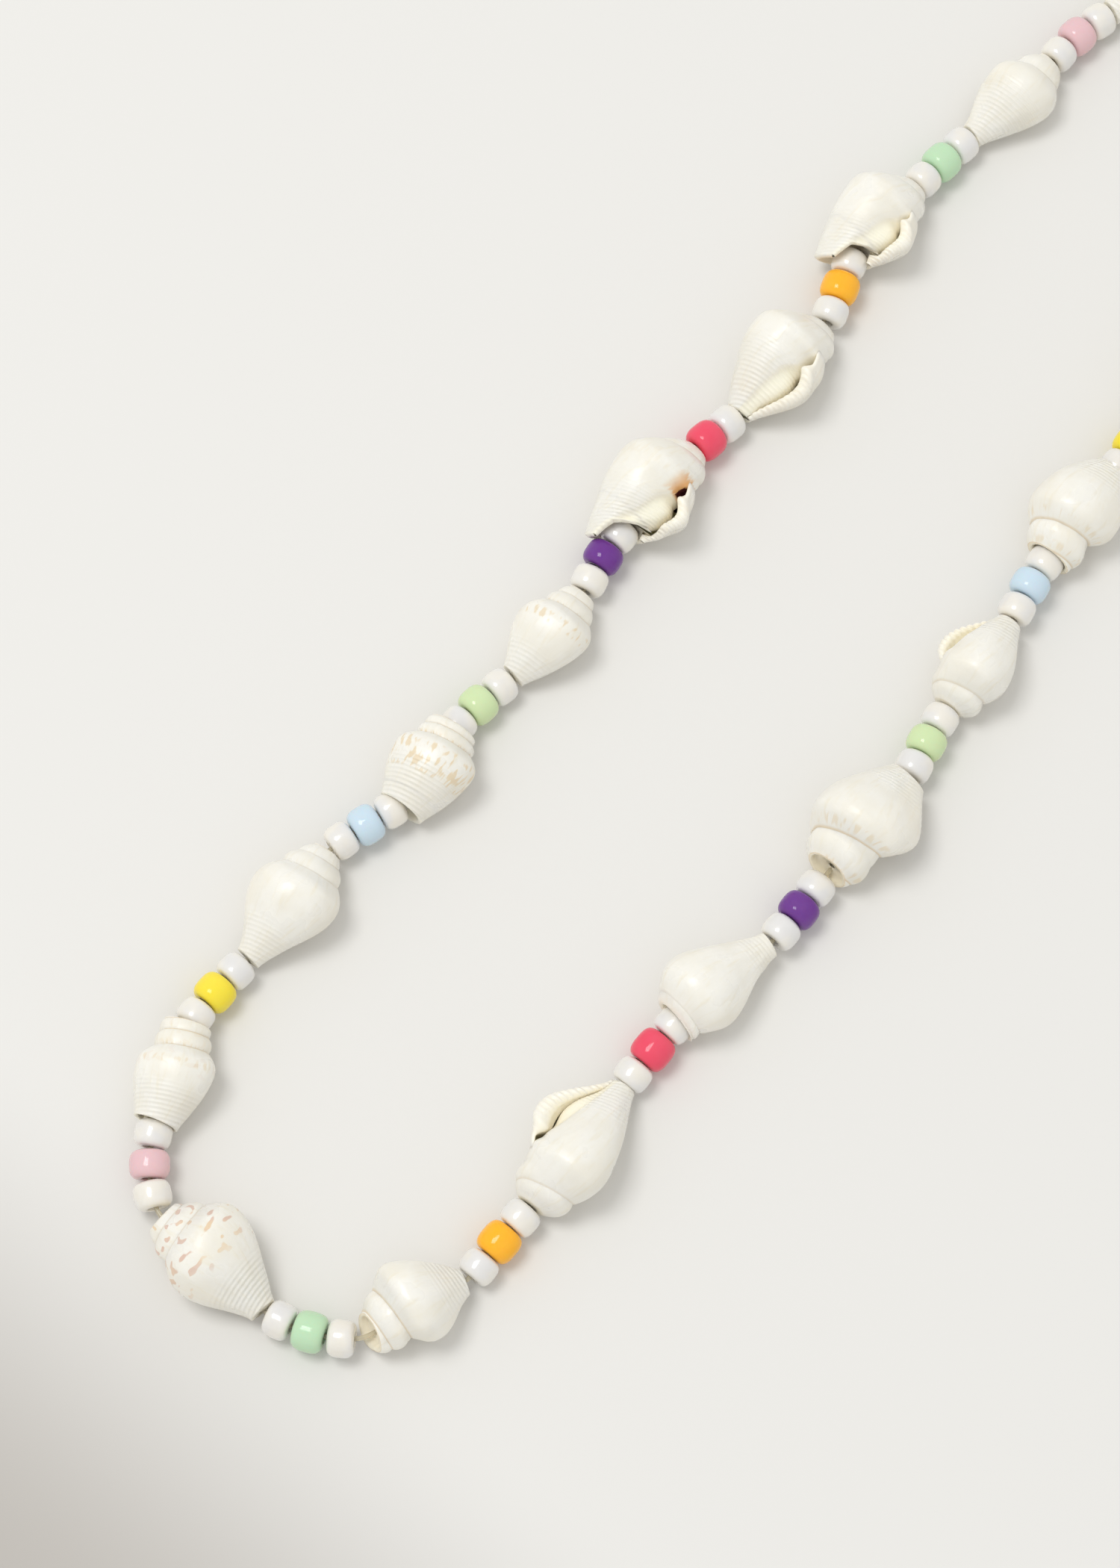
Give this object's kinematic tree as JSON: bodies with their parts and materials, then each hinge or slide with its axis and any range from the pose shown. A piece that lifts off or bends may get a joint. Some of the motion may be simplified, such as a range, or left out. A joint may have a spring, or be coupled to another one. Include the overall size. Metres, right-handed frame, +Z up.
{
  "type": "shell necklace",
  "caption": "Closed necklace string of small ivory sea snail shells with coloured and white pearl glass beads between them, laid flat.",
  "frame": {"origin": "middle of the laid loop's bounding box, on the table it lies on", "axes": "+Z up from the table, +Y along the loop's long way towards the clasp, +X across the loop"},
  "size_m": [0.0516, 0.1952, 0.0085],
  "materials": {
    "shell_ivory": "satin natural shell",
    "bead_pearl": "opaque white pearl lustre",
    "clasp_metal": "plain polished barrel",
    "nylon_thread": "clear nylon",
    "bead_pink": "opaque pressed glass",
    "bead_mint": "opaque pressed glass",
    "bead_orange": "opaque pressed glass",
    "bead_red": "opaque pressed glass",
    "bead_purple": "opaque pressed glass",
    "bead_light_green": "opaque pressed glass",
    "bead_light_blue": "opaque pressed glass",
    "bead_yellow": "opaque pressed glass"
  },
  "bodies": {
    "root": {"bead_01_yellow": "bead_yellow", "bead_02_pink": "bead_pink", "bead_03_mint": "bead_mint", "bead_04_orange": "bead_orange", "bead_05_red": "bead_red", "bead_06_purple": "bead_purple", "bead_07_light_green": "bead_light_green", "bead_08_light_blue": "bead_light_blue", "bead_09_yellow": "bead_yellow", "bead_10_pink": "bead_pink", "bead_11_mint": "bead_mint", "bead_12_orange": "bead_orange", "bead_13_red": "bead_red", "bead_14_purple": "bead_purple", "bead_15_light_green": "bead_light_green", "bead_16_light_blue": "bead_light_blue", "bead_17_yellow": "bead_yellow", "bead_18_pink": "bead_pink", "bead_19_mint": "bead_mint", "bead_20_orange": "bead_orange", "clasp": "clasp_metal", "pearl_beads": "bead_pearl", "shell_01": "shell_ivory", "shell_02": "shell_ivory", "shell_03": "shell_ivory", "shell_04": "shell_ivory", "shell_05": "shell_ivory", "shell_06": "shell_ivory", "shell_07": "shell_ivory", "shell_08": "shell_ivory", "shell_09": "shell_ivory", "shell_10": "shell_ivory", "shell_11": "shell_ivory", "shell_12": "shell_ivory", "shell_13": "shell_ivory", "shell_14": "shell_ivory", "shell_15": "shell_ivory", "shell_16": "shell_ivory", "shell_17": "shell_ivory", "shell_18": "shell_ivory", "shell_19": "shell_ivory", "thread": "nylon_thread"}
  },
  "joints": []
}
